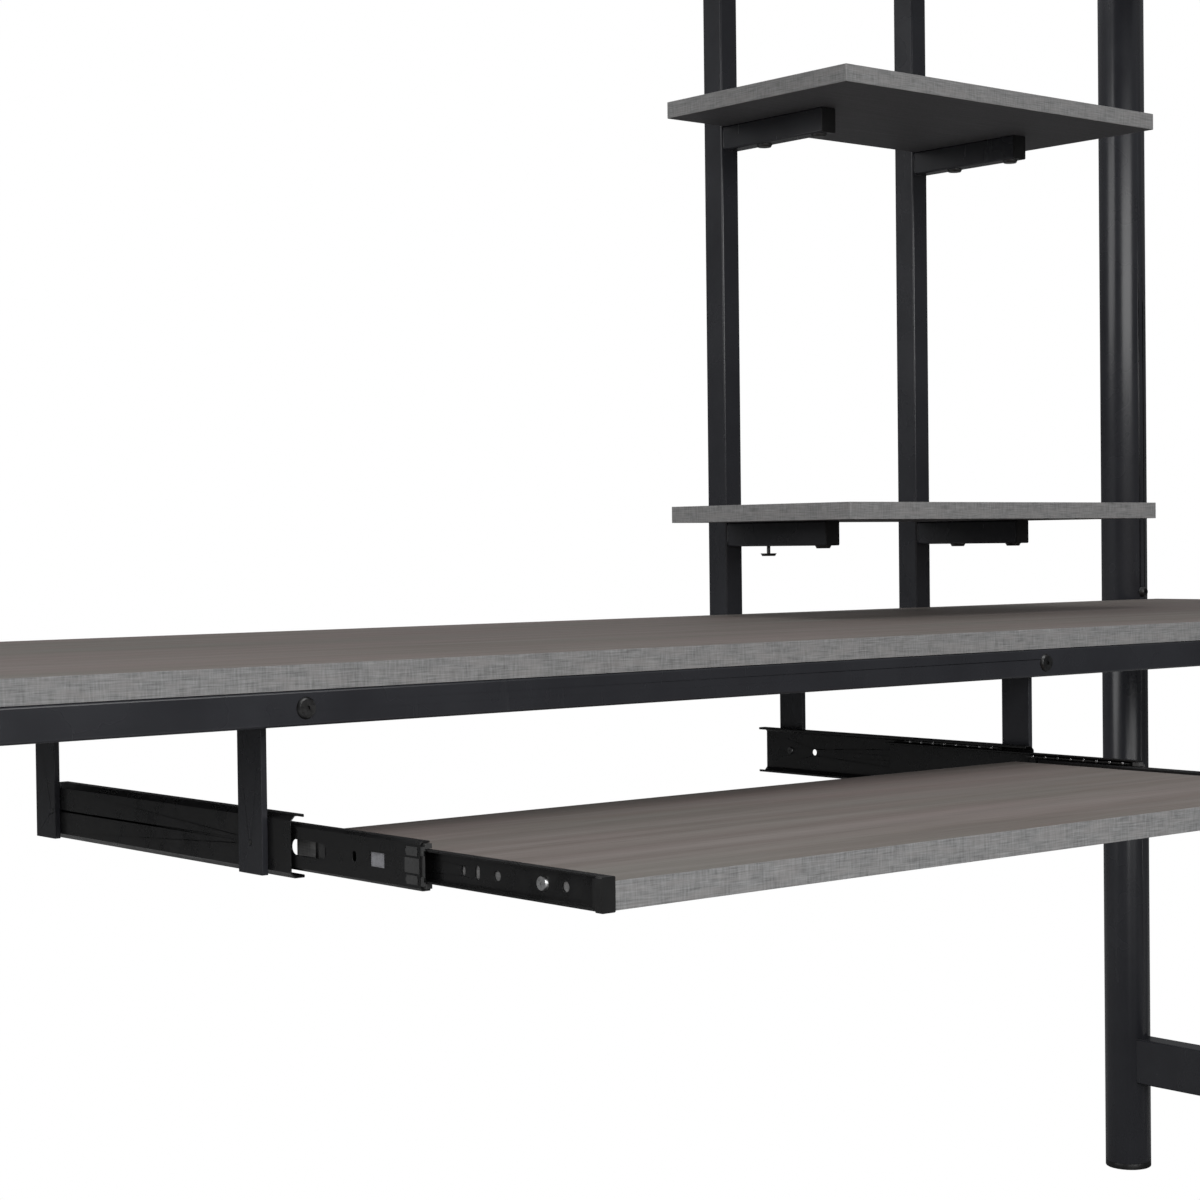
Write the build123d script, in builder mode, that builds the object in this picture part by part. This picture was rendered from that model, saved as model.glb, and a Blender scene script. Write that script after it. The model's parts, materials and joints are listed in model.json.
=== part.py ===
from build123d import *
import os

os.makedirs("parts", exist_ok=True)

# A computer desk on a round-tube frame. A keyboard tray hangs under the desktop on two
# ball-bearing slides, and two small shelves stand on posts behind the desktop's right half.
# Millimetres. X runs along the desk, Y from the sitter's side to the back, Z up from the floor.
# The origin is on the floor, under the middle of the whole object with its tray pulled out.

# Desktop and boards
desk_width = 2032.0
desk_depth = 600.0
desk_height = 762.0
board_thickness = 18.0
band_thickness = 1.0

# How far the open tray reaches ahead of the desktop, and the rear legs behind it
tray_reach = 321.0
leg_diameter = 60.0
leg_wall = 2.0
leg_radius = leg_diameter / 2

bolt_head_height = 3.0

overall_depth = tray_reach + desk_depth + leg_diameter + bolt_head_height
front_edge = tray_reach - overall_depth / 2
back_edge = front_edge + desk_depth
desk_underside = desk_height - board_thickness

# Square rails under the desktop
rail_size = 25.0
rail_wall = 1.5
rail_middle_z = desk_underside - rail_size / 2
rail_inset_y = rail_size / 2
end_cap_thickness = 2.0

# Legs and the tall rear uprights
leg_x = desk_width / 2 - leg_radius
front_leg_y = front_edge + rail_size + leg_radius
rear_leg_y = back_edge + leg_radius
foot_height = 8.0
sleeve_reach = 50.0
joint_bolt_height = 10.0
crossbar_height = 60.0
crossbar_width = 30.0
crossbar_middle_z = 146.0
crossbar_bolt_offset = 13.5

# Shelf posts, arms and shelves
post_width = 25.0
post_depth = 30.0
post_middle_x = 402.0
post_spacing = 314.5
post_bottom = desk_underside - 60.0
post_x = (post_middle_x - post_spacing / 2, post_middle_x + post_spacing / 2)
shelf_width = 504.0
shelf_depth = 276.0
lower_shelf_top = desk_height + 122.0
upper_shelf_top = desk_height + 569.5
arm_length = 157.0
arm_width = 20.0
arm_height = 27.0
arm_screw_places = (56.0, 142.0)
top_shelf_top = 1650.0
beam_height = 25.0
beam_bottom = top_shelf_top - board_thickness - beam_height
top_shelf_depth = shelf_depth + post_depth

# Keyboard tray and its slides
tray_middle_x = -329.0
tray_gap = 800.0
tray_depth = 350.0
tray_top = desk_height - 121.0
tray_front = front_edge - tray_reach
slide_middle_z = desk_height - 129.0
slide_thickness = 12.7
tray_width = tray_gap - 2 * slide_thickness
steel = 1.2
outer_height = 45.0
middle_height = 33.0
inner_height = 22.0
outer_front = front_edge + 17.5
outer_length = 350.0
middle_fronts = {"left": front_edge - 134.0, "right": front_edge - 107.0}
middle_length = 300.0
bumper_length = 6.0
inner_front = tray_front + bumper_length
inner_length = 318.0
middle_web = 3.0
inner_flange_tip = 5.6
outer_ball_radius = 2.1
inner_ball_radius = 1.9
cage_length = 116.0
balls_in_row = 8
ball_depth = 8.2

# Hangers that carry the slides
hanger_x = tray_gap / 2 - 3.5
bar_thickness = 5.0
bar_width = 32.0
bar_bottom = slide_middle_z - outer_height / 2
left_bars = (front_edge + 62.5, front_edge + 374.5)
right_bars = (front_edge + 39.5, front_edge + 333.0)
left_slide_screws = (left_bars[0], front_edge + 363.0)
right_slide_screws = right_bars

# Fasteners
bolt_shank = 3.0
bolt_hole = 3.25
screw_shank = 2.0
screw_hole = 2.2
pilot_play = 0.2
slip_play = 0.05
plug_play = 0.1


def cut_holes(plane, places, radius, depth):
    """Cut a round hole at each place on the plane, running along its normal."""
    with BuildSketch(plane) as outline:
        with Locations(*places):
            Circle(radius)
    extrude(outline.sketch, amount=depth, mode=Mode.SUBTRACT)


def wall_y(y):
    """The plane that stands across Y at y: its own x is X, its own y is Z, its normal +Y."""
    return Plane(origin=(0, y, 0), x_dir=(-1, 0, 0), z_dir=(0, 1, 0))


def wall_x(x):
    """The plane that stands across X at x: its own x is Y, its own y is Z, its normal +X."""
    return Plane(origin=(x, 0, 0), x_dir=(0, 1, 0), z_dir=(1, 0, 0))


def tube_section(plane, across, up, wall, place, rounding=2.0):
    """A hollow rectangle with rounded corners."""
    with BuildSketch(plane) as section:
        with Locations(place):
            RectangleRounded(across, up, rounding)
            RectangleRounded(across - 2 * wall, up - 2 * wall, rounding / 2, mode=Mode.SUBTRACT)
    return section.sketch


def tube_along_x(start, end, y, z, depth, height, wall):
    extrude(tube_section(wall_x(start), depth, height, wall, (y, z)), amount=end - start)


def tube_along_y(start, end, x, z, width, height, wall):
    extrude(tube_section(wall_y(start), width, height, wall, (-x, z)), amount=end - start)


def tube_along_z(start, end, x, y, width, depth, wall):
    section = tube_section(Plane.XY.offset(start), width, depth, wall, (x, y))
    extrude(section, amount=end - start)


def save(builder, name):
    """Label a finished sub-part and write it."""
    builder.part.label = name
    export_step(builder.part, f"parts/{name}.step")


# ---------------------------------------------------------------- boards and edge bands

def banded_board(name, width, depth, middle_x, front, top, pilot_plane, pilots, pilot_depth):
    """A laminated board, with pilot holes for its screws, and the thin band round its edge."""
    middle = (middle_x, front + depth / 2)
    core_width = width - 2 * band_thickness
    core_depth = depth - 2 * band_thickness
    bottom = Plane.XY.offset(top - board_thickness)
    with BuildPart() as board:
        with BuildSketch(bottom):
            with Locations(middle):
                Rectangle(core_width, core_depth)
        extrude(amount=board_thickness)
        for plane in pilot_plane:
            cut_holes(plane, pilots, screw_shank + pilot_play, pilot_depth)
    save(board, name)
    with BuildPart() as band:
        with BuildSketch(bottom):
            with Locations(middle):
                RectangleRounded(width, depth, band_thickness)
                Rectangle(core_width, core_depth, mode=Mode.SUBTRACT)
        extrude(amount=board_thickness)
        for plane in pilot_plane:
            if abs(plane.z_dir.X) > 0:
                start = plane.offset(-band_thickness)
                cut_holes(start, pilots, screw_shank + pilot_play, band_thickness * 2)
    save(band, f"{name}_edge_band")


underside = Plane.XY.offset(desk_underside)
end_rail_x = desk_width / 2 - leg_diameter - rail_size / 2
cross_tube_x = (tray_middle_x - hanger_x, tray_middle_x + hanger_x)
desktop_screw_rows = (front_edge + 120.0, back_edge - 120.0)
desktop_screw_places = [
    (x, y)
    for x in (-end_rail_x, end_rail_x) + cross_tube_x
    for y in desktop_screw_rows
]
shelf_screw_rows = [back_edge - place for place in arm_screw_places]
shelf_screw_places = [(x, y) for x in post_x for y in shelf_screw_rows]
top_arm_x = (-leg_x, post_x[0], post_x[1], leg_x)
top_screw_places = [(x, y) for x in top_arm_x for y in shelf_screw_rows]
pilot_length = 12.0

banded_board("desktop", desk_width, desk_depth, 0, front_edge, desk_height,
             [underside], desktop_screw_places, pilot_length)
for shelf_name, shelf_top in (("lower_shelf", lower_shelf_top), ("upper_shelf", upper_shelf_top)):
    banded_board(shelf_name, shelf_width, shelf_depth, post_middle_x, back_edge - shelf_depth,
                 shelf_top, [Plane.XY.offset(shelf_top - board_thickness)],
                 shelf_screw_places, pilot_length)
banded_board("top_shelf", desk_width, top_shelf_depth, 0,
             back_edge + post_depth - top_shelf_depth, top_shelf_top,
             [Plane.XY.offset(top_shelf_top - board_thickness)], top_screw_places, pilot_length)

# The tray is held by screws through the inner slide members into its two sides
front_tray_screw_y = inner_front + 62.0
rear_tray_screw_y = inner_front + 290.0
tray_screw_places = [(y, slide_middle_z) for y in (front_tray_screw_y, rear_tray_screw_y)]
tray_left = tray_middle_x - tray_width / 2 + band_thickness
tray_right = tray_middle_x + tray_width / 2 - band_thickness
tray_side_planes = [
    Plane(origin=(tray_left, 0, 0), x_dir=(0, 1, 0), z_dir=(1, 0, 0)),
    Plane(origin=(tray_right, 0, 2 * slide_middle_z), x_dir=(0, 1, 0), z_dir=(-1, 0, 0)),
]
banded_board("keyboard_tray", tray_width, tray_depth, tray_middle_x, tray_front, tray_top,
             tray_side_planes, tray_screw_places, pilot_length)


# ---------------------------------------------------------------- rails and cross tubes

front_rail_y = front_edge + rail_inset_y
rear_rail_y = back_edge - rail_inset_y
rail_end = desk_width / 2 - end_cap_thickness
rear_rail_bolt_x = (-leg_x, post_x[0], post_x[1], leg_x)
hole_run = rail_size + 2

with BuildPart() as front_rail:
    tube_along_x(-rail_end, rail_end, front_rail_y, rail_middle_z, rail_size, rail_size, rail_wall)
    cut_holes(wall_y(front_edge - 1), [(-x, rail_middle_z) for x in cross_tube_x],
              bolt_hole, hole_run)
save(front_rail, "front_rail")

with BuildPart() as rear_rail:
    tube_along_x(-rail_end, rail_end, rear_rail_y, rail_middle_z, rail_size, rail_size, rail_wall)
    cut_holes(wall_y(back_edge - rail_size - 1),
              [(-x, rail_middle_z) for x in cross_tube_x + rear_rail_bolt_x], bolt_hole, hole_run)
save(rear_rail, "rear_rail")

screw_hole_start = Plane.XY.offset(desk_underside - rail_size - 1)
for side, sign in (("left", -1), ("right", 1)):
    with BuildPart() as end_rail:
        tube_along_y(front_edge + rail_size, back_edge - rail_size, sign * end_rail_x,
                     rail_middle_z, rail_size, rail_size, rail_wall)
        cut_holes(wall_x(sign * end_rail_x - hole_run / 2), [(front_leg_y, rail_middle_z)],
                  bolt_hole, hole_run)
        cut_holes(screw_hole_start, [(sign * end_rail_x, y) for y in desktop_screw_rows],
                  screw_hole, hole_run)
    save(end_rail, f"{side}_end_rail")

for side, x in zip(("left", "right"), cross_tube_x):
    with BuildPart() as cross_tube:
        tube_along_y(front_edge + rail_size, back_edge - rail_size, x,
                     rail_middle_z, rail_size, rail_size, rail_wall)
        cut_holes(screw_hole_start, [(x, y) for y in desktop_screw_rows], screw_hole, hole_run)
    save(cross_tube, f"{side}_cross_tube")

# Flat bars welded under each cross tube; the slide is screwed to their inner faces
slide_sides = (("left", 1, tray_middle_x - tray_gap / 2, left_bars, left_slide_screws),
               ("right", -1, tray_middle_x + tray_gap / 2, right_bars, right_slide_screws))
bar_length = desk_underside - rail_size - bar_bottom
for side, inward, face, bar_places, screw_places in slide_sides:
    with BuildPart() as drop_bars:
        with BuildSketch(Plane.XY.offset(bar_bottom)):
            with Locations(*[(face - inward * bar_thickness / 2, y) for y in bar_places]):
                Rectangle(bar_thickness, bar_width)
        extrude(amount=bar_length)
        cut_holes(wall_x(face - bar_thickness - 1), [(y, slide_middle_z) for y in screw_places],
                  screw_hole, 2 * bar_thickness + 2)
    save(drop_bars, f"{side}_drop_bars")


# ---------------------------------------------------------------- legs and uprights

def round_tube(start, end, x, y, radius, wall):
    """An upright round tube from height start to height end."""
    with BuildSketch(Plane.XY.offset(start)) as ring:
        with Locations((x, y)):
            Circle(radius)
            Circle(radius - wall, mode=Mode.SUBTRACT)
    extrude(ring.sketch, amount=end - start)


crossbar_bolt_z = (crossbar_middle_z - crossbar_bolt_offset,
                   crossbar_middle_z + crossbar_bolt_offset)
joint_bolt_z = desk_height + joint_bolt_height
leg_run = leg_diameter + 2

for side, sign in (("left", -1), ("right", 1)):
    x = sign * leg_x
    with BuildPart() as front_leg:
        round_tube(foot_height, desk_underside, x, front_leg_y, leg_radius, leg_wall)
        cut_holes(wall_y(front_leg_y - leg_radius - 1), [(-x, z) for z in crossbar_bolt_z],
                  bolt_hole, leg_run)
        inner_half = wall_x(min(x, x - sign * leg_radius))
        cut_holes(inner_half, [(front_leg_y, rail_middle_z)], bolt_hole, leg_radius)
    save(front_leg, f"{side}_front_leg")

    with BuildPart() as rear_leg:
        round_tube(foot_height, desk_underside, x, rear_leg_y, leg_radius, leg_wall)
        cut_holes(wall_y(back_edge - 1), [(-x, z) for z in crossbar_bolt_z], bolt_hole, leg_run)
        cut_holes(wall_y(back_edge - 1), [(-x, rail_middle_z)], bolt_hole, leg_radius)
    save(rear_leg, f"{side}_rear_leg")

    with BuildPart() as upright:
        round_tube(desk_underside, beam_bottom, x, rear_leg_y, leg_radius, leg_wall)
        cut_holes(wall_y(back_edge - 1), [(-x, joint_bolt_z)], bolt_hole, leg_radius)
    save(upright, f"{side}_upright")

    with BuildPart() as crossbar:
        tube_along_y(front_leg_y, rear_leg_y, x, crossbar_middle_z,
                     crossbar_width, crossbar_height, leg_wall)
        with BuildSketch(Plane.XY.offset(crossbar_middle_z - crossbar_height)) as legs_outline:
            with Locations((x, front_leg_y), (x, rear_leg_y)):
                Circle(leg_radius + slip_play)
        extrude(legs_outline.sketch, amount=2 * crossbar_height, mode=Mode.SUBTRACT)
    save(crossbar, f"{side}_side_crossbar")

sleeve_radius = leg_radius - leg_wall - slip_play
with BuildPart() as joint_sleeves:
    for x in (-leg_x, leg_x):
        round_tube(desk_underside - sleeve_reach, desk_underside + sleeve_reach,
                   x, rear_leg_y, sleeve_radius, leg_wall)
    for x in (-leg_x, leg_x):
        cut_holes(wall_y(back_edge - 1), [(-x, joint_bolt_z), (-x, rail_middle_z)],
                  bolt_hole, leg_radius)
save(joint_sleeves, "joint_sleeves")

foot_plug_height = 20.0
foot_rounding = 1.5
leg_places = [(x, y) for x in (-leg_x, leg_x) for y in (front_leg_y, rear_leg_y)]
with BuildPart() as foot_caps:
    with BuildSketch(Plane.XY):
        with Locations(*leg_places):
            Circle(leg_radius)
    extrude(amount=foot_height)
    bottom_rims = foot_caps.edges().filter_by(GeomType.CIRCLE).group_by(Axis.Z)[0]
    fillet(bottom_rims, foot_rounding)
    with BuildSketch(Plane.XY.offset(foot_height)):
        with Locations(*leg_places):
            Circle(leg_radius - leg_wall - plug_play)
    extrude(amount=foot_plug_height)
save(foot_caps, "foot_caps")


# ---------------------------------------------------------------- shelf posts and arms

post_y = back_edge + post_depth / 2
for side, x in zip(("left", "right"), post_x):
    with BuildPart() as post:
        tube_along_z(post_bottom, beam_bottom, x, post_y, post_width, post_depth, rail_wall)
        cut_holes(wall_y(back_edge - 1), [(-x, rail_middle_z)], bolt_hole, post_depth / 2)
    save(post, f"{side}_shelf_post")

    for level, shelf_top in (("lower", lower_shelf_top), ("upper", upper_shelf_top)):
        arm_middle_z = shelf_top - board_thickness - arm_height / 2
        with BuildPart() as arm:
            tube_along_y(back_edge - arm_length + end_cap_thickness, back_edge, x, arm_middle_z,
                         arm_width, arm_height, rail_wall)
            cut_holes(Plane.XY.offset(arm_middle_z - arm_height),
                      [(x, y) for y in shelf_screw_rows], screw_hole, 2 * arm_height)
        save(arm, f"{level}_{side}_shelf_arm")

with BuildPart() as top_beam:
    tube_along_x(-rail_end, rail_end, post_y, beam_bottom + beam_height / 2,
                 post_depth, beam_height, rail_wall)
save(top_beam, "top_beam")

with BuildPart() as top_shelf_arms:
    for x in top_arm_x:
        tube_along_y(back_edge - arm_length + end_cap_thickness, back_edge, x,
                     beam_bottom + beam_height / 2, arm_width, beam_height, rail_wall)
    cut_holes(Plane.XY.offset(beam_bottom - 1), top_screw_places, screw_hole, beam_height + 2)
save(top_shelf_arms, "top_shelf_arms")


# ---------------------------------------------------------------- plastic tube ends

def end_cap(plane, across, up, wall, place):
    """A plastic cap on a tube's open end: a plate as large as the tube, and a plug in its bore."""
    plug_length = 10.0
    plate_rounding = 2.0
    plug_rounding = 1.0
    plug_across = across - 2 * wall - 2 * plug_play
    plug_up = up - 2 * wall - 2 * plug_play
    with BuildSketch(plane) as plate:
        with Locations(place):
            RectangleRounded(across, up, plate_rounding)
    extrude(plate.sketch, amount=end_cap_thickness)
    with BuildSketch(plane.offset(end_cap_thickness)) as plug:
        with Locations(place):
            RectangleRounded(plug_across, plug_up, plug_rounding)
    extrude(plug.sketch, amount=plug_length)


def left_end_plane():
    return wall_x(-desk_width / 2)


def right_end_plane():
    return Plane(origin=(desk_width / 2, 0, 0), x_dir=(0, 1, 0), z_dir=(-1, 0, 0))


with BuildPart() as rail_end_caps:
    for y, z, depth, height in ((front_rail_y, rail_middle_z, rail_size, rail_size),
                                (rear_rail_y, rail_middle_z, rail_size, rail_size),
                                (post_y, beam_bottom + beam_height / 2, post_depth, beam_height)):
        end_cap(left_end_plane(), depth, height, rail_wall, (y, z))
        end_cap(right_end_plane(), depth, height, rail_wall, (y, -z))
save(rail_end_caps, "rail_end_caps")

with BuildPart() as arm_end_caps:
    arm_front = wall_y(back_edge - arm_length)
    for x in post_x:
        for shelf_top in (lower_shelf_top, upper_shelf_top):
            end_cap(arm_front, arm_width, arm_height, rail_wall,
                    (-x, shelf_top - board_thickness - arm_height / 2))
    for x in top_arm_x:
        end_cap(arm_front, arm_width, beam_height, rail_wall, (-x, beam_bottom + beam_height / 2))
save(arm_end_caps, "arm_end_caps")


# ---------------------------------------------------------------- ball-bearing slides

def channel(face, inward, web, height, tip, slope, lip, start, length):
    """One folded steel slide member. The web lies at depth web from the outer face, and the
    flanges run on to depth tip. Sloping stretches join them, and a lip turns in at each end.
    A tip nearer the outer face than the web folds the flanges the other way."""
    half = height / 2
    way = 1 if tip > web else -1
    near = web if way > 0 else web + steel
    far = near + way * steel
    corner = steel * (2 ** 0.5 - 1)
    upper = [(near, half - slope), (near + way * slope, half), (tip, half)]
    if lip:
        upper += [(tip, half - steel - lip), (tip - steel, half - steel - lip),
                  (tip - steel, half - steel)]
    else:
        upper += [(tip, half - steel)]
    upper += [(near + way * (slope + corner), half - steel), (far, half - slope - corner)]
    lower = [(depth, -z) for depth, z in reversed(upper)]
    outline = [(-(face + inward * depth), slide_middle_z + z) for depth, z in upper + lower]
    with BuildSketch(wall_y(start)) as section:
        with BuildLine():
            Polyline(*outline, close=True)
        make_face()
    extrude(section.sketch, amount=length)


def cut_slots(face, inward, depth, places, length, height):
    """Cut rounded slots through a web that lies at the given depth."""
    with BuildSketch(wall_x(face + inward * depth - 2 * steel)) as slots:
        with Locations(*[(y, slide_middle_z) for y in places]):
            RectangleRounded(length, height, min(length, height) / 2 - 0.01)
    extrude(slots.sketch, amount=4 * steel, mode=Mode.SUBTRACT)


def ball_rows(start, count_length):
    """Y places of a row of balls inside a cage."""
    pitch = count_length / balls_in_row
    return [start + pitch * (number + 0.5) for number in range(balls_in_row)]


outer_cage_starts = {"left": front_edge + 38.0, "right": front_edge + 53.0}
inner_cage_starts = {"left": middle_fronts["left"] + 6.5, "right": middle_fronts["right"] + 10.0}
outer_ball_z = (outer_height / 2 - steel + middle_height / 2) / 2
inner_ball_z = (middle_height / 2 - steel + inner_height / 2) / 2
outer_lip = 1.0
outer_tip = 12.0
middle_tip = 11.2
inner_web = slide_thickness - steel
inner_cage_web = 4.5
inner_cage_web_start = 11.0
outer_cage_web = 3.6
outer_cage_web_start = 17.0
outer_slope = 4.0
middle_slope = 2.0
inner_slope = 1.0
cage_end_strip = 8.0


def cage(face, inward, start, web_depth, web_start_z, ball_z, ball_radius, end_strips):
    """A plastic strip that keeps the balls apart: above and below the slide's middle it has a
    thin web and a pierced ledge, and end strips join the two halves of a one-piece cage."""
    strip = 0.6
    ledge = 0.8
    ball_play = 0.1
    web_top = ball_z + ledge / 2
    web_height = web_top - web_start_z
    ledge_reach = ball_depth + ball_radius
    ledge_middle = (web_depth + ledge_reach) / 2
    web_middle = -(face + inward * (web_depth + strip / 2))
    with BuildSketch(wall_y(start)) as section:
        for up in (-1, 1):
            with Locations((web_middle, slide_middle_z + up * (web_top - web_height / 2))):
                Rectangle(strip, web_height)
            with Locations((-(face + inward * ledge_middle), slide_middle_z + up * ball_z)):
                Rectangle(ledge_reach - web_depth, ledge)
    extrude(section.sketch, amount=cage_length)
    for strip_start in end_strips:
        with BuildSketch(wall_y(strip_start)) as cross_strip:
            with Locations((web_middle, slide_middle_z)):
                Rectangle(strip, 2 * web_start_z + 1)
        extrude(cross_strip.sketch, amount=cage_end_strip)
    places = [(face + inward * ball_depth, y) for y in ball_rows(start, cage_length)]
    cut_holes(Plane.XY.offset(slide_middle_z - ball_z - ledge), places,
              ball_radius + ball_play, 2 * ball_z + 2 * ledge)


def balls(face, inward, start, ball_z, ball_radius):
    """Steel balls in two rows, one above and one below the slide's middle."""
    with Locations(*[(face + inward * ball_depth, y, slide_middle_z + z)
                     for y in ball_rows(start, cage_length) for z in (-ball_z, ball_z)]):
        Sphere(ball_radius)


middle_slot_place = 133.0
middle_slot_size = (44.0, 11.0)
middle_small_slot_place = 76.6
middle_small_slot_size = (4.4, 7.3)
middle_window_place = 49.5
middle_window_size = (17.0, 10.0)
inner_hole_y = (inner_front + 40.0, inner_front + 109.0)
inner_hole_radius = 3.4
inner_slot_y = inner_front + 130.0
inner_slot_size = (4.7, 9.3)
inner_oval_y = inner_front + 145.0
inner_oval_size = (4.0, 6.4)
outer_hole_radius = 3.0
outer_hole_y = outer_front + 281.5

for side, inward, face, bar_places, screw_places in slide_sides:
    web_plane = wall_x(face - 2 * steel)
    middle_front = middle_fronts[side]
    outer_cage_start = outer_cage_starts[side]
    inner_cage_start = inner_cage_starts[side]
    with BuildPart() as outer_channel:
        channel(face, inward, 0, outer_height, outer_tip, outer_slope, outer_lip,
                outer_front, outer_length)
        cut_holes(web_plane, [(y, slide_middle_z) for y in screw_places], screw_hole, 4 * steel)
        if side == "right":
            cut_holes(web_plane, [(outer_hole_y, slide_middle_z)],
                      outer_hole_radius, 4 * steel)
    save(outer_channel, f"{side}_outer_channel")

    with BuildPart() as middle_member:
        channel(face, inward, middle_web, middle_height, middle_tip, middle_slope, 0,
                middle_front, middle_length)
        cut_slots(face, inward, middle_web, [middle_front + middle_slot_place],
                  *middle_slot_size)
        cut_slots(face, inward, middle_web, [middle_front + middle_small_slot_place],
                  *middle_small_slot_size)
        with BuildSketch(wall_x(face + inward * middle_web - 2 * steel)) as window:
            with Locations((middle_front + middle_window_place, slide_middle_z)):
                Rectangle(*middle_window_size)
        extrude(window.sketch, amount=4 * steel, mode=Mode.SUBTRACT)
    save(middle_member, f"{side}_middle_member")

    with BuildPart() as inner_member:
        channel(face, inward, inner_web, inner_height, inner_flange_tip, inner_slope, 0,
                inner_front, inner_length)
        cut_holes(wall_x(face + inward * inner_web - 2 * steel),
                  [(y, slide_middle_z) for y in (front_tray_screw_y, rear_tray_screw_y)],
                  screw_hole, 4 * steel)
        cut_holes(wall_x(face + inward * inner_web - 2 * steel),
                  [(y, slide_middle_z) for y in inner_hole_y], inner_hole_radius, 4 * steel)
        cut_slots(face, inward, inner_web, [inner_slot_y], *inner_slot_size)
        cut_slots(face, inward, inner_web, [inner_oval_y], *inner_oval_size)
    save(inner_member, f"{side}_inner_member")

    with BuildPart() as outer_cage:
        cage(face, inward, outer_cage_start, outer_cage_web, outer_cage_web_start,
             outer_ball_z, outer_ball_radius, [])
    save(outer_cage, f"{side}_outer_cage")
    with BuildPart() as outer_balls:
        balls(face, inward, outer_cage_start, outer_ball_z, outer_ball_radius)
    save(outer_balls, f"{side}_outer_balls")
    with BuildPart() as inner_cage:
        cage(face, inward, inner_cage_start, inner_cage_web, inner_cage_web_start,
             inner_ball_z, inner_ball_radius,
             [inner_cage_start, inner_cage_start + cage_length - cage_end_strip])
    save(inner_cage, f"{side}_inner_cage")
    with BuildPart() as inner_balls:
        balls(face, inward, inner_cage_start, inner_ball_z, inner_ball_radius)
    save(inner_balls, f"{side}_inner_balls")

# Plastic caps on the front ends of the inner members
bumper_start_depth = 1.6
bumper_plug_depth = (6.2, 11.3)
bumper_plug_length = 8.0
bumper_plug_width = bumper_plug_depth[1] - bumper_plug_depth[0]
bumper_plug_height = inner_height - 2 * steel - 2.0
bumper_rounding = 1.0
with BuildPart() as slide_bumpers:
    for side, inward, face, bar_places, screw_places in slide_sides:
        bumper_middle = face + inward * (bumper_start_depth + slide_thickness) / 2
        with BuildSketch(wall_y(inner_front - bumper_length)) as front_plate:
            with Locations((-bumper_middle, slide_middle_z)):
                RectangleRounded(slide_thickness - bumper_start_depth, inner_height,
                                 bumper_rounding)
        extrude(front_plate.sketch, amount=bumper_length)
        with BuildSketch(wall_y(inner_front)) as plug_outline:
            with Locations((-(face + inward * sum(bumper_plug_depth) / 2), slide_middle_z)):
                Rectangle(bumper_plug_width, bumper_plug_height)
        extrude(plug_outline.sketch, amount=bumper_plug_length)
save(slide_bumpers, "slide_bumpers")


# ---------------------------------------------------------------- fasteners

def bolt_group(name, seats, head_radius, head_height, shank_radius, shank_length, socket):
    """Identical round-head bolts with hex sockets. Each seat is a plane: the head stands on it
    and the shank goes behind it."""
    with BuildPart() as group:
        for seat in seats:
            with BuildSketch(seat) as head:
                Circle(head_radius)
            extrude(head.sketch, amount=head_height, taper=30)
            with BuildSketch(seat.offset(head_height)) as recess:
                RegularPolygon(socket / 2, 6)
            extrude(recess.sketch, amount=-head_height * 0.6, mode=Mode.SUBTRACT)
            with BuildSketch(seat) as shank:
                Circle(shank_radius)
            extrude(shank.sketch, amount=-shank_length)
    save(group, name)


def seat_at(x, y, z, direction):
    return Plane(origin=(x, y, z), z_dir=direction)


forward = (0, -1, 0)
backward = (0, 1, 0)
downward = (0, 0, -1)

rail_seats = [seat_at(x, front_edge, rail_middle_z, forward) for x in cross_tube_x]
rail_seats += [seat_at(x, back_edge, rail_middle_z, backward) for x in cross_tube_x]
rail_seats += [seat_at(x, back_edge - rail_size, rail_middle_z, forward) for x in rear_rail_bolt_x]
rail_seats += [seat_at(sign * (end_rail_x - rail_size / 2), front_leg_y, rail_middle_z, (-sign, 0, 0))
               for sign in (-1, 1)]
bolt_group("rail_bolts", rail_seats,
           head_radius=8.0, head_height=2.5, shank_radius=bolt_shank,
           shank_length=36.0, socket=4.0)

crossbar_seats = []
for x in (-leg_x, leg_x):
    for z in crossbar_bolt_z:
        crossbar_seats.append(seat_at(x, front_leg_y - leg_radius, z, forward))
        crossbar_seats.append(seat_at(x, rear_leg_y + leg_radius, z, backward))
bolt_group("crossbar_bolts", crossbar_seats,
           head_radius=6.0, head_height=bolt_head_height, shank_radius=bolt_shank,
           shank_length=78.0, socket=4.0)

joint_seats = [seat_at(x, back_edge, joint_bolt_z, forward) for x in (-leg_x, leg_x)]
bolt_group("upright_joint_bolts", joint_seats,
           head_radius=7.5, head_height=5.0, shank_radius=bolt_shank,
           shank_length=18.0, socket=4.0)

screw_seats = [seat_at(x, y, desk_underside - rail_size, downward) for x, y in desktop_screw_places]
bolt_group("desktop_screws", screw_seats,
           head_radius=4.5, head_height=2.0, shank_radius=screw_shank,
           shank_length=rail_size + 10, socket=2.0)

# One screw under the lower left arm has been left eight millimetres loose
loose_drop = 8.0
shelf_seats = []
for shelf_top in (lower_shelf_top, upper_shelf_top):
    seat_z = shelf_top - board_thickness - arm_height
    for x, y in shelf_screw_places:
        loose = (shelf_top, x, y) == (lower_shelf_top, post_x[0], shelf_screw_rows[0])
        shelf_seats.append(seat_at(x, y, seat_z - loose_drop * loose, downward))
shelf_seats += [seat_at(x, y, beam_bottom, downward) for x, y in top_screw_places]
bolt_group("shelf_screws", shelf_seats,
           head_radius=9.0, head_height=3.0, shank_radius=screw_shank,
           shank_length=35.0, socket=2.5)

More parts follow.
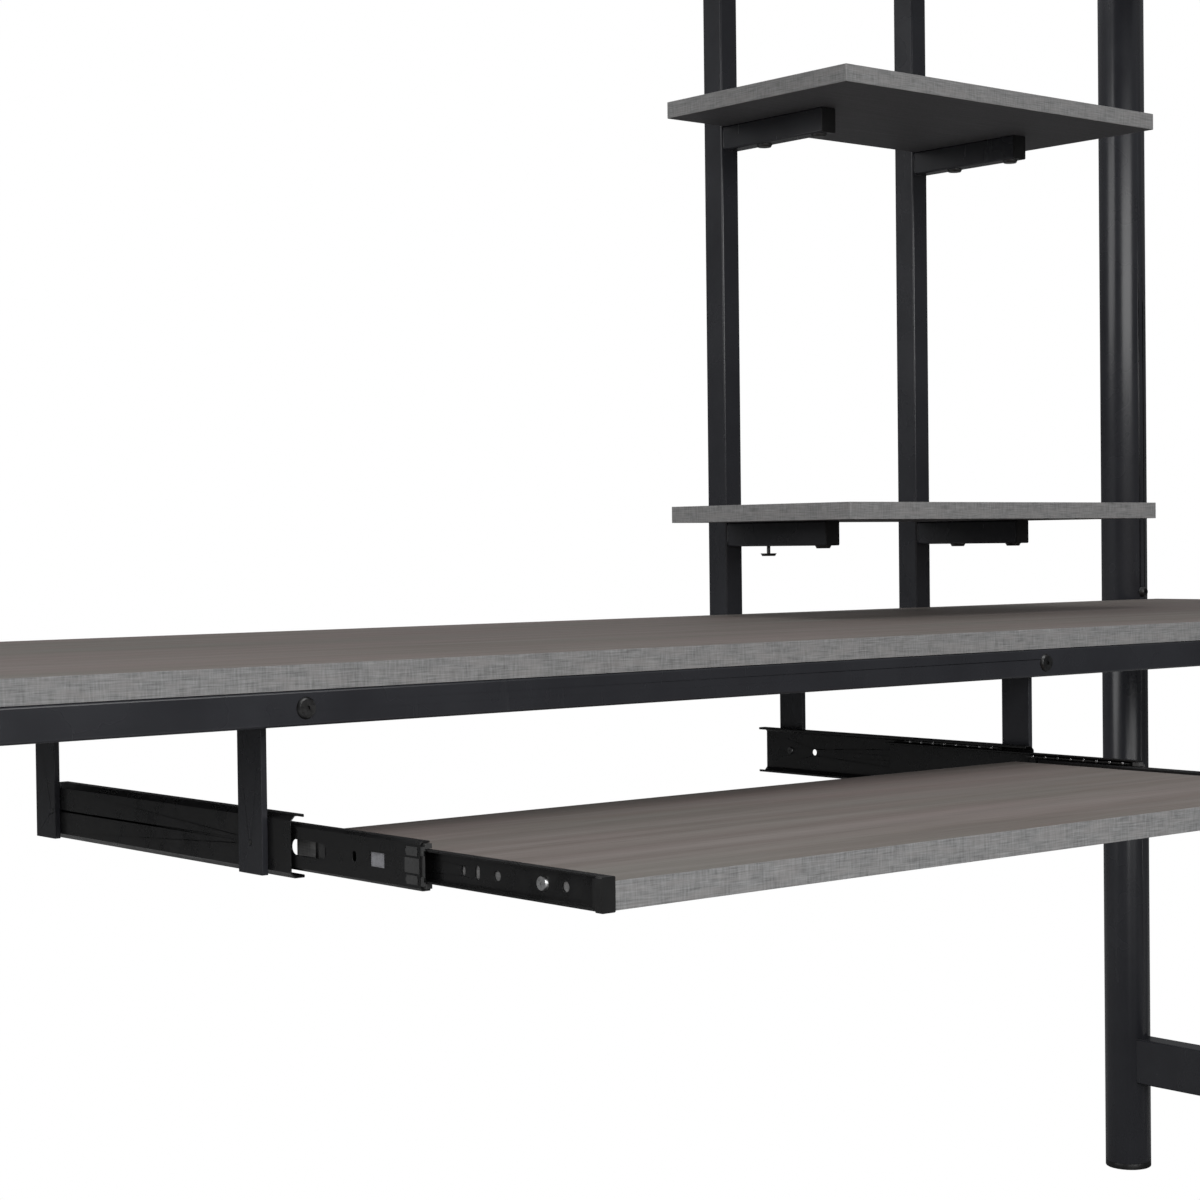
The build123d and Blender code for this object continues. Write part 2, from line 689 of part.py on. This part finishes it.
slide_seats = []
tray_seats = []
for side, inward, face, bar_places, screw_places in slide_sides:
    for y in screw_places:
        slide_seats.append(seat_at(face + inward * steel, y, slide_middle_z, (inward, 0, 0)))
    for y in (front_tray_screw_y, rear_tray_screw_y):
        tray_seats.append(seat_at(face + inward * inner_web, y, slide_middle_z, (-inward, 0, 0)))
bolt_group("slide_screws", slide_seats,
           head_radius=4.0, head_height=1.2, shank_radius=screw_shank,
           shank_length=steel + bar_thickness, socket=2.0)
bolt_group("tray_screws", tray_seats,
           head_radius=5.5, head_height=2.0, shank_radius=screw_shank,
           shank_length=steel + 10, socket=2.5)
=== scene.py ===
import json
import math

import bmesh
import bpy
from mathutils import Matrix, Vector


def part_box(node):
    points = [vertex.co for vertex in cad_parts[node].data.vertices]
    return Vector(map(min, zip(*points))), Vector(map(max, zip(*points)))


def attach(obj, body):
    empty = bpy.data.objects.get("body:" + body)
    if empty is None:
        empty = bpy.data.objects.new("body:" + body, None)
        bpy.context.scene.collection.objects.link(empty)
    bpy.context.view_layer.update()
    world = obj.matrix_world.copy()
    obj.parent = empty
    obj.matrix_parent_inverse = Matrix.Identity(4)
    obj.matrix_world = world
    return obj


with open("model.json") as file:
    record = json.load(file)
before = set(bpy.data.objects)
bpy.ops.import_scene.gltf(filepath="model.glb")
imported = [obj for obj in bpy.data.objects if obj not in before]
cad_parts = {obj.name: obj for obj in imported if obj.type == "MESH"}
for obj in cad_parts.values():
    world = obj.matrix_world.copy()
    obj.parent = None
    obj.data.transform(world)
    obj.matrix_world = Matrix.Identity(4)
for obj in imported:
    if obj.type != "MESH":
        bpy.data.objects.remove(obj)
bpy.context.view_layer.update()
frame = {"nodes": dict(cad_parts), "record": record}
nodes = frame["nodes"]

MM = 0.001
same_point = 0.004 * MM

first_colour_socket = 6
second_colour_socket = 7
mixed_colour_socket = 2


# ------------------------------------------------------------------ node-tree helpers

class Shader:
    """A material's node tree, with one short call for each kind of node."""

    def __init__(self, name):
        self.material = bpy.data.materials.new(name)
        self.material.use_nodes = True
        self.tree = self.material.node_tree
        self.surface = self.tree.nodes["Principled BSDF"]
        coordinates = self.tree.nodes.new("ShaderNodeTexCoord")
        self.position = coordinates.outputs["Object"]

    def node(self, kind, **settings):
        made = self.tree.nodes.new(kind)
        for key, value in settings.items():
            setattr(made, key, value)
        return made

    def feed(self, socket, value):
        if isinstance(value, bpy.types.NodeSocket):
            self.tree.links.new(value, socket)
        else:
            socket.default_value = value

    def stretched(self, scale, vector=None):
        """Object coordinates, scaled along each axis."""
        made = self.node("ShaderNodeVectorMath", operation="MULTIPLY")
        self.feed(made.inputs[0], vector or self.position)
        made.inputs[1].default_value = scale
        return made.outputs[0]

    def noise(self, vector, scale=1.0, detail=4.0, roughness=0.55, distortion=0.0):
        made = self.node("ShaderNodeTexNoise")
        self.feed(made.inputs["Vector"], vector)
        made.inputs["Scale"].default_value = scale
        made.inputs["Detail"].default_value = detail
        made.inputs["Roughness"].default_value = roughness
        made.inputs["Distortion"].default_value = distortion
        return made.outputs["Fac"]

    def math(self, operation, first, second=0.0):
        made = self.node("ShaderNodeMath", operation=operation)
        self.feed(made.inputs[0], first)
        self.feed(made.inputs[1], second)
        return made.outputs[0]

    def span(self, value, low, high, new_low=0.0, new_high=1.0):
        made = self.node("ShaderNodeMapRange")
        self.feed(made.inputs["Value"], value)
        made.inputs["From Min"].default_value = low
        made.inputs["From Max"].default_value = high
        made.inputs["To Min"].default_value = new_low
        made.inputs["To Max"].default_value = new_high
        return made.outputs["Result"]

    def mix(self, factor, first, second):
        """Two colours mixed. The node names each socket once per data type, so they go by number."""
        made = self.node("ShaderNodeMix", data_type="RGBA")
        self.feed(made.inputs[0], factor)
        self.feed(made.inputs[first_colour_socket], first)
        self.feed(made.inputs[second_colour_socket], second)
        return made.outputs[mixed_colour_socket]

    def part(self, vector, axis):
        made = self.node("ShaderNodeSeparateXYZ")
        self.feed(made.inputs[0], vector)
        return made.outputs[axis]

    def bump(self, height, distance, strength):
        made = self.node("ShaderNodeBump")
        made.inputs["Distance"].default_value = distance
        made.inputs["Strength"].default_value = strength
        self.feed(made.inputs["Height"], height)
        self.feed(self.surface.inputs["Normal"], made.outputs["Normal"])

    def finish(self, colour, roughness, metallic=0.0, specular=0.5):
        self.feed(self.surface.inputs["Base Color"], colour)
        self.feed(self.surface.inputs["Roughness"], roughness)
        self.surface.inputs["Metallic"].default_value = metallic
        self.surface.inputs["Specular IOR Level"].default_value = specular
        return self.material


def grey(value, blue=1.0, red=1.0):
    return (value * red, value, value * blue, 1.0)


# ------------------------------------------------------------------ materials

def laminate_material():
    """Brown-grey wood laminate: long streaks along X, red and green tints, and a darker blue-grey on
    faces pointing down.
    """
    s = Shader("wood_laminate")
    streaks = s.noise(s.stretched((1.6, 34.0, 34.0)), detail=7.0, roughness=0.62, distortion=0.5)
    fibres = s.noise(s.stretched((14.0, 620.0, 620.0)), detail=3.0, roughness=0.7)
    cathedral = s.node("ShaderNodeTexWave", wave_type="BANDS", bands_direction="Y")
    s.feed(cathedral.inputs["Vector"], s.stretched((0.35, 5.0, 5.0)))
    cathedral.inputs["Scale"].default_value = 1.6
    cathedral.inputs["Distortion"].default_value = 9.0
    cathedral.inputs["Detail"].default_value = 3.0
    cathedral.inputs["Detail Scale"].default_value = 1.4
    tint = s.noise(s.stretched((2.3, 9.0, 9.0)), detail=2.0)
    brown = (0.150, 0.127, 0.114, 1.0)
    ash = (0.205, 0.188, 0.174, 1.0)
    colour = s.mix(s.span(streaks, 0.32, 0.68), brown, ash)
    rosy = s.mix(s.span(tint, 0.42, 0.62, 0.0, 0.55), colour, (0.205, 0.165, 0.158, 1.0))
    green = s.mix(s.span(tint, 0.44, 0.30, 0.0, 0.45), rosy, (0.168, 0.167, 0.150, 1.0))
    figure = s.mix(s.span(cathedral.outputs["Fac"], 0.0, 1.0, 0.0, 0.30), green,
                   (0.120, 0.104, 0.094, 1.0))
    pores = s.mix(s.span(fibres, 0.56, 0.80, 0.0, 0.55), figure, (0.085, 0.074, 0.068, 1.0))
    # Faces pointing down take a darker blue-grey with fine specks in place of the laminate colour.
    geometry = s.node("ShaderNodeNewGeometry")
    facing_down = s.span(s.part(geometry.outputs["Normal"], 2), -0.6, -0.4, 1.0, 0.0)
    underside_speck = s.noise(s.position, scale=420.0, detail=3.0)
    underside_grey = s.mix(s.span(underside_speck, 0.35, 0.7), grey(0.088, 1.06), grey(0.112, 1.06))
    both = s.mix(facing_down, pores, underside_grey)
    height = s.math("ADD", s.math("MULTIPLY", streaks, 0.4), s.math("MULTIPLY", fibres, 0.6))
    s.bump(height, 0.06 * MM, 0.6)
    roughness = s.span(fibres, 0.3, 0.8, 0.50, 0.68)
    return s.finish(both, roughness, specular=0.28)


def edge_band_material():
    """Light grey edge tape printed like linen: fine threads along it and across it."""
    s = Shader("linen_edge_band")
    geometry = s.node("ShaderNodeNewGeometry")
    upward = s.math("ABSOLUTE", s.part(geometry.outputs["Normal"], 2))
    along = s.math("ADD", s.part(s.position, 0), s.part(s.position, 1))
    grid = s.node("ShaderNodeCombineXYZ")
    s.feed(grid.inputs[0], along)
    s.feed(grid.inputs[1], s.part(s.position, 2))
    lengthwise = s.noise(s.stretched((46.0, 950.0, 1.0), grid.outputs[0]), detail=4.0, roughness=0.6)
    crosswise = s.noise(s.stretched((620.0, 70.0, 1.0), grid.outputs[0]), detail=4.0, roughness=0.6)
    patches = s.noise(s.stretched((38.0, 130.0, 1.0), grid.outputs[0]), detail=3.0)
    weave = s.math("ADD", s.math("MULTIPLY", lengthwise, 0.5), s.math("MULTIPLY", crosswise, 0.36))
    weave = s.math("ADD", weave, s.math("MULTIPLY", patches, 0.14))
    colour = s.mix(s.span(weave, 0.38, 0.62), grey(0.150, 1.0), grey(0.330, 1.0))
    warm = s.mix(s.span(patches, 0.45, 0.65, 0.0, 0.4), colour, (0.265, 0.250, 0.245, 1.0))
    top_edge = s.mix(s.span(upward, 0.6, 0.9, 0.0, 0.6), warm, (0.17, 0.158, 0.150, 1.0))
    s.bump(weave, 0.10 * MM, 0.7)
    return s.finish(top_edge, s.span(weave, 0.35, 0.65, 0.62, 0.50), specular=0.3)


def powder_coat_material():
    """Charcoal powder coat: fine orange peel, faint clouding, small rubbed spots."""
    s = Shader("charcoal_powder_coat")
    peel = s.noise(s.position, scale=1500.0, detail=2.0, roughness=0.5)
    clouds = s.noise(s.position, scale=11.0, detail=3.0)
    rubs = s.noise(s.stretched((60.0, 60.0, 9.0)), detail=5.0, roughness=0.7)
    colour = s.mix(s.span(clouds, 0.3, 0.7), (0.0200, 0.0205, 0.0245, 1.0), (0.0270, 0.0280, 0.0330, 1.0))
    rubbed = s.mix(s.span(rubs, 0.66, 0.80, 0.0, 0.35), colour, grey(0.055, 1.08))
    s.bump(peel, 0.03 * MM, 0.5)
    roughness = s.math("ADD", s.span(clouds, 0.3, 0.7, 0.24, 0.30), s.span(rubs, 0.6, 0.8, 0.0, 0.06))
    return s.finish(rubbed, roughness, specular=0.5)


def slide_steel_material():
    """Black electro-coated sheet steel with grease film and drag marks along the travel."""
    s = Shader("black_slide_steel")
    drag = s.noise(s.stretched((900.0, 7.0, 900.0)), detail=4.0, roughness=0.65)
    film = s.noise(s.position, scale=60.0, detail=3.0)
    colour = s.mix(s.span(drag, 0.60, 0.78, 0.0, 0.5), grey(0.0065, 1.05), grey(0.022, 1.05))
    s.bump(drag, 0.02 * MM, 0.4)
    return s.finish(colour, s.span(film, 0.3, 0.7, 0.22, 0.38), specular=0.45)


def plastic_material(name, value, roughness, scale):
    """Moulded plastic: fine spark-eroded texture, slightly uneven gloss."""
    s = Shader(name)
    grain = s.noise(s.position, scale=scale, detail=3.0)
    flow = s.noise(s.position, scale=30.0, detail=2.0)
    colour = s.mix(s.span(flow, 0.3, 0.7), grey(value * 0.85), grey(value * 1.15))
    s.bump(grain, 0.04 * MM, 0.5)
    return s.finish(colour, s.span(flow, 0.3, 0.7, roughness - 0.06, roughness + 0.06), specular=0.45)


def metal_material(name, value, roughness, streak=None):
    """Plated steel with fine turning or rolling marks."""
    s = Shader(name)
    marks = s.noise(s.stretched(streak or (700.0, 700.0, 700.0)), detail=3.0)
    stain = s.noise(s.position, scale=160.0, detail=4.0)
    colour = s.mix(s.span(stain, 0.45, 0.75), grey(value), grey(value * 0.62))
    s.bump(marks, 0.02 * MM, 0.4)
    return s.finish(colour, s.span(marks, 0.3, 0.7, roughness - 0.08, roughness + 0.08), metallic=1.0)


def window_mesh_material():
    """Grey moulded plastic with a fine square hatching, seen through the slide's window."""
    s = Shader("hatched_plastic")
    waves = 4200.0
    across = s.math("SINE", s.math("MULTIPLY", s.part(s.position, 1), waves))
    up = s.math("SINE", s.math("MULTIPLY", s.part(s.position, 2), waves))
    hatch = s.math("MULTIPLY", across, up)
    speck = s.noise(s.position, scale=500.0, detail=2.0)
    colour = s.mix(s.span(hatch, -0.6, 0.6), grey(0.22, 1.06), grey(0.55, 1.06))
    spotted = s.mix(s.span(speck, 0.5, 0.75, 0.0, 0.5), colour, grey(0.07, 1.05))
    s.bump(hatch, 0.10 * MM, 0.6)
    return s.finish(spotted, 0.55, specular=0.35)


finishes = {
    "laminate": laminate_material(),
    "edge_band": edge_band_material(),
    "frame_paint": powder_coat_material(),
    "slide_steel": slide_steel_material(),
    "cage_plastic": plastic_material("cage_nylon", 0.035, 0.45, 900.0),
    "cap_plastic": plastic_material("cap_plastic", 0.007, 0.42, 700.0),
    "ball_steel": metal_material("ball_steel", 0.70, 0.16),
    "black_bolt": metal_material("black_oxide", 0.10, 0.34),
    "zinc_screw": metal_material("bright_zinc", 0.62, 0.34),
    "sleeve_steel": metal_material("bare_steel", 0.40, 0.36, (500.0, 500.0, 20.0)),
}
hatched = window_mesh_material()
stop_plastic = plastic_material("stop_nylon", 0.060, 0.34, 260.0)


# ------------------------------------------------------------------ CAD nodes: finish and soft edges

edge_radius = {
    "frame_paint": 0.5 * MM,
    "slide_steel": 0.22 * MM,
    "edge_band": 0.35 * MM,
    "cap_plastic": 0.5 * MM,
    "black_bolt": 0.45 * MM,
    "zinc_screw": 0.4 * MM,
}
channel_edge_radius = 0.5 * MM
sharp_angle = math.radians(50)


def soften_edges(piece, radius):
    """Join the coincident corners of the imported faces, then round the sharp edges."""
    weld = piece.modifiers.new("weld", "WELD")
    weld.merge_threshold = same_point
    bevel = piece.modifiers.new("soft_edges", "BEVEL")
    bevel.width = radius
    bevel.segments = 2
    bevel.limit_method = "ANGLE"
    bevel.angle_limit = sharp_angle
    bevel.use_clamp_overlap = True
    bevel.harden_normals = True


slot_of = {entry["node"]: entry["material_slot"] for entry in frame["record"]["subparts"]}
for name, piece in nodes.items():
    slot = slot_of[name]
    piece.data.materials.clear()
    piece.data.materials.append(finishes[slot])
    if name.endswith("outer_channel"):
        soften_edges(piece, channel_edge_radius)
    elif slot in edge_radius:
        soften_edges(piece, edge_radius[slot])


# ------------------------------------------------------------------ made pieces

def new_piece(name, mesh, material, body):
    data = bpy.data.meshes.new(name)
    mesh.to_mesh(data)
    mesh.free()
    piece = bpy.data.objects.new(name, data)
    bpy.context.scene.collection.objects.link(piece)
    data.materials.append(material)
    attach(piece, body)
    return piece


def add_box(mesh, low, high):
    """A box between two corners, added to a mesh."""
    low, high = Vector(low), Vector(high)
    size = [abs(value) for value in high - low]
    placed = Matrix.Translation((low + high) / 2) @ Matrix.Diagonal((*size, 1.0))
    bmesh.ops.create_cube(mesh, size=1.0, matrix=placed)


def round_edges(mesh, radius):
    bmesh.ops.bevel(mesh, geom=list(mesh.edges), offset=radius, segments=2,
                    affect="EDGES", profile=0.5)


def shade_smooth(piece):
    for face in piece.data.polygons:
        face.use_smooth = True


bead_radius = 1.3 * MM
arm_bead_radius = bead_radius * 0.8
ripple_step = 1.6 * MM
bead_inset = 0.2 * MM
bead_sides = 10


def weld_bead(mesh, start, end, radius):
    """A rippled round bead of weld metal laid from start to end, thinner at both ends."""
    start, end = Vector(start), Vector(end)
    run = end - start
    steps = max(4, int(run.length / ripple_step))
    side = run.normalized().orthogonal().normalized()
    other = run.normalized().cross(side)
    rings = []
    for step in range(steps + 1):
        share = step / steps
        swell = 0.86 + 0.14 * math.cos(step * math.pi)
        taper = min(1.0, 4 * share + 0.35, 4 * (1 - share) + 0.35)
        ring = []
        for corner in range(bead_sides):
            angle = 2 * math.pi * corner / bead_sides
            offset = side * math.cos(angle) + other * math.sin(angle)
            ring.append(mesh.verts.new(start + run * share + offset * radius * swell * taper))
        rings.append(ring)
    for first, second in zip(rings, rings[1:]):
        for corner in range(bead_sides):
            following = (corner + 1) % bead_sides
            mesh.faces.new((first[corner], first[following], second[following], second[corner]))
    mesh.faces.new(list(reversed(rings[0])))
    mesh.faces.new(rings[-1])


def solids_of(name):
    """The boxes of a node's separate solids, from its loose parts, sorted by place."""
    mesh = bmesh.new()
    mesh.from_mesh(nodes[name].data)
    bmesh.ops.remove_doubles(mesh, verts=mesh.verts, dist=same_point)
    boxes = []
    seen = set()
    for vertex in mesh.verts:
        if vertex.index in seen:
            continue
        stack, island = [vertex], []
        seen.add(vertex.index)
        while stack:
            current = stack.pop()
            island.append(current.co.copy())
            for edge in current.link_edges:
                neighbour = edge.other_vert(current)
                if neighbour.index not in seen:
                    seen.add(neighbour.index)
                    stack.append(neighbour)
        low = Vector(min(co[axis] for co in island) for axis in range(3))
        high = Vector(max(co[axis] for co in island) for axis in range(3))
        boxes.append((low, high))
    mesh.free()
    return sorted(boxes, key=lambda pair: tuple(round(value, 4) for value in pair[0]))


def hanger_welds(side):
    """Weld beads where each drop bar meets the cross tube above it."""
    mesh = bmesh.new()
    for low, high in solids_of(f"{side}_drop_bars"):
        z = high.z - bead_inset
        for x in (low.x, high.x):
            weld_bead(mesh, (x, low.y + 2 * MM, z), (x, high.y - 2 * MM, z), bead_radius)
    shade_smooth(new_piece(f"{side}_hanger_welds", mesh, finishes["frame_paint"], "desk"))


def arm_welds():
    """Weld beads down both sides of each shelf arm and along its underside, where it meets its post."""
    mesh = bmesh.new()
    for level in ("lower", "upper"):
        for side in ("left", "right"):
            low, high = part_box(f"{level}_{side}_shelf_arm")
            y = high.y - bead_inset
            for x in (low.x, high.x):
                weld_bead(mesh, (x, y, low.z + 1 * MM), (x, y, high.z - 2 * MM), arm_bead_radius)
            weld_bead(mesh, (low.x + 1 * MM, y, low.z), (high.x - 1 * MM, y, low.z), arm_bead_radius)
    shade_smooth(new_piece("shelf_arm_welds", mesh, finishes["frame_paint"], "desk"))


def middle_retainer(side, inward):
    """The moulded stop in a middle member's front end: a plate and blocks inside the folded steel,
    pads and low round bumps on its outer face, and a hatched plate behind its window.
    A block's depths are in mm from the web's outer face towards the tray, its ys in mm from the
    member's front end, and its zs in mm from the member's middle height."""
    low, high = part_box(f"{side}_middle_member")
    web = low.x if inward > 0 else high.x
    front = low.y
    middle_z = (low.z + high.z) / 2
    mesh = bmesh.new()

    def block(depths, ys, zs):
        xs = sorted(web + inward * depth * MM for depth in depths)
        add_box(mesh, (xs[0], front + ys[0] * MM, middle_z + zs[0] * MM),
                (xs[1], front + ys[1] * MM, middle_z + zs[1] * MM))

    block((1.3, 2.4), (-2.5, 5.0), (-10.6, 10.6))
    block((-0.4, -0.02), (1.0, 17.0), (-5.0, 5.0))
    for up in (-1, 1):
        block((2.6, 8.0), (-2.5, 5.0), (up * 11.6, up * 15.0))
        block((-0.4, -0.02), (3.0, 15.0), (up * 6.5, up * 12.5))
        block((0.3, 2.5), (-2.5, -0.1), (up * 7.0, up * 13.0))
    round_edges(mesh, 0.15 * MM)
    bump_radius = 2.0 * MM
    bump_height = 0.4 * MM
    turn = Matrix.Rotation(math.radians(90), 4, "Y")
    for along in (4.5, 9.5, 14.0):
        for up in (-9.5, -2.6, 2.6, 9.5):
            centre = Vector((web - inward * 0.3 * MM, front + along * MM, middle_z + up * MM))
            bmesh.ops.create_cone(mesh, cap_ends=True, segments=20, radius1=bump_radius,
                                  radius2=bump_radius, depth=bump_height,
                                  matrix=Matrix.Translation(centre) @ turn)
    new_piece(f"{side}_middle_stop", mesh, stop_plastic, f"{side}_middle")
    mesh = bmesh.new()
    block((1.25, 1.45), (40.0, 60.0), (-6.0, 6.0))
    round_edges(mesh, 0.05 * MM)
    new_piece(f"{side}_window_plate", mesh, hatched, f"{side}_middle")


for side, inward in (("left", 1), ("right", -1)):
    hanger_welds(side)
    middle_retainer(side, inward)
arm_welds()


# ------------------------------------------------------------------ floor, light and camera

desk_low, desk_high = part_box("desktop_edge_band")


def make_floor():
    """A wide pale floor that meets the white surroundings without an edge."""
    mesh = bmesh.new()
    bmesh.ops.create_grid(mesh, x_segments=1, y_segments=1, size=30.0)
    data = bpy.data.meshes.new("studio_floor")
    mesh.to_mesh(data)
    mesh.free()
    floor = bpy.data.objects.new("studio_floor", data)
    bpy.context.scene.collection.objects.link(floor)
    s = Shader("pale_floor")
    speck = s.noise(s.position, scale=3.0, detail=2.0)
    material = s.finish(s.mix(speck, grey(0.28), grey(0.32)), 0.9, specular=0.1)
    seen = s.node("ShaderNodeEmission")
    path = s.node("ShaderNodeLightPath")
    choose = s.node("ShaderNodeMixShader")
    s.feed(choose.inputs[0], path.outputs["Is Camera Ray"])
    s.feed(choose.inputs[1], s.surface.outputs[0])
    s.feed(choose.inputs[2], seen.outputs[0])
    s.feed(s.tree.nodes["Material Output"].inputs["Surface"], choose.outputs[0])
    data.materials.append(material)


def make_world():
    """White to the eye, and a soft dim room for everything the object reflects."""
    world = bpy.data.worlds.new("studio")
    bpy.context.scene.world = world
    world.use_nodes = True
    tree = world.node_tree
    background = tree.nodes["Background"]
    seen = tree.nodes.new("ShaderNodeBackground")
    seen.inputs["Color"].default_value = (1.0, 1.0, 1.0, 1.0)
    seen.inputs["Strength"].default_value = 1.0
    path = tree.nodes.new("ShaderNodeLightPath")
    choose = tree.nodes.new("ShaderNodeMixShader")
    place = tree.nodes.new("ShaderNodeTexCoord")
    split = tree.nodes.new("ShaderNodeSeparateXYZ")
    height = tree.nodes.new("ShaderNodeMapRange")
    height.inputs["From Min"].default_value = -0.1
    height.inputs["From Max"].default_value = 0.9
    height.inputs["To Min"].default_value = 0.03
    height.inputs["To Max"].default_value = 0.35
    tree.links.new(place.outputs["Generated"], split.inputs[0])
    tree.links.new(split.outputs[2], height.inputs["Value"])
    tree.links.new(height.outputs["Result"], background.inputs["Strength"])
    background.inputs["Color"].default_value = (0.97, 0.985, 1.0, 1.0)
    tree.links.new(path.outputs["Is Camera Ray"], choose.inputs["Fac"])
    tree.links.new(background.outputs[0], choose.inputs[1])
    tree.links.new(seen.outputs[0], choose.inputs[2])
    tree.links.new(choose.outputs[0], tree.nodes["World Output"].inputs["Surface"])


def softbox(name, place, target, width, height, power):
    data = bpy.data.lights.new(name, "AREA")
    data.shape = "RECTANGLE"
    data.size = width
    data.size_y = height
    data.energy = power
    light = bpy.data.objects.new(name, data)
    bpy.context.scene.collection.objects.link(light)
    light.location = place
    light.rotation_euler = (Vector(target) - Vector(place)).to_track_quat("-Z", "Y").to_euler()


def make_lights():
    """Soft boxes ahead of the desk, behind its left end and overhead, aimed at the desktop."""
    middle = Vector(((desk_low.x + desk_high.x) / 2, (desk_low.y + desk_high.y) / 2, desk_high.z))
    softbox("front_box", middle + Vector((-1.4, -4.2, 1.3)), middle, 4.6, 2.4, 140.0)
    softbox("left_back_box", middle + Vector((-4.2, 1.8, 1.6)), middle, 3.0, 2.4, 60.0)
    softbox("overhead_box", middle + Vector((-0.6, 0.4, 4.2)), middle, 4.0, 4.0, 125.0)


def make_camera():
    """Just above the desktop, ahead of its left end, looking along it to the back right."""
    right = Vector((0.7667, -0.6419, -0.0118)).normalized()
    forward = Vector((0.6417, 0.7666, -0.0225))
    forward = (forward - right * forward.dot(right)).normalized()
    up = right.cross(forward)
    place = Vector((desk_low.x - 0.652, desk_low.y - 1.447, desk_high.z + 0.081))
    data = bpy.data.cameras.new("camera")
    data.sensor_width = 36.0
    data.lens = 73.85
    data.clip_end = 200.0
    camera = bpy.data.objects.new("camera", data)
    bpy.context.scene.collection.objects.link(camera)
    turn = Matrix((right, up, -forward)).transposed()
    camera.matrix_world = Matrix.Translation(place) @ turn.to_4x4()
    bpy.context.scene.camera = camera


make_floor()
make_world()
make_lights()
make_camera()
bpy.context.scene.view_settings.view_transform = "Standard"
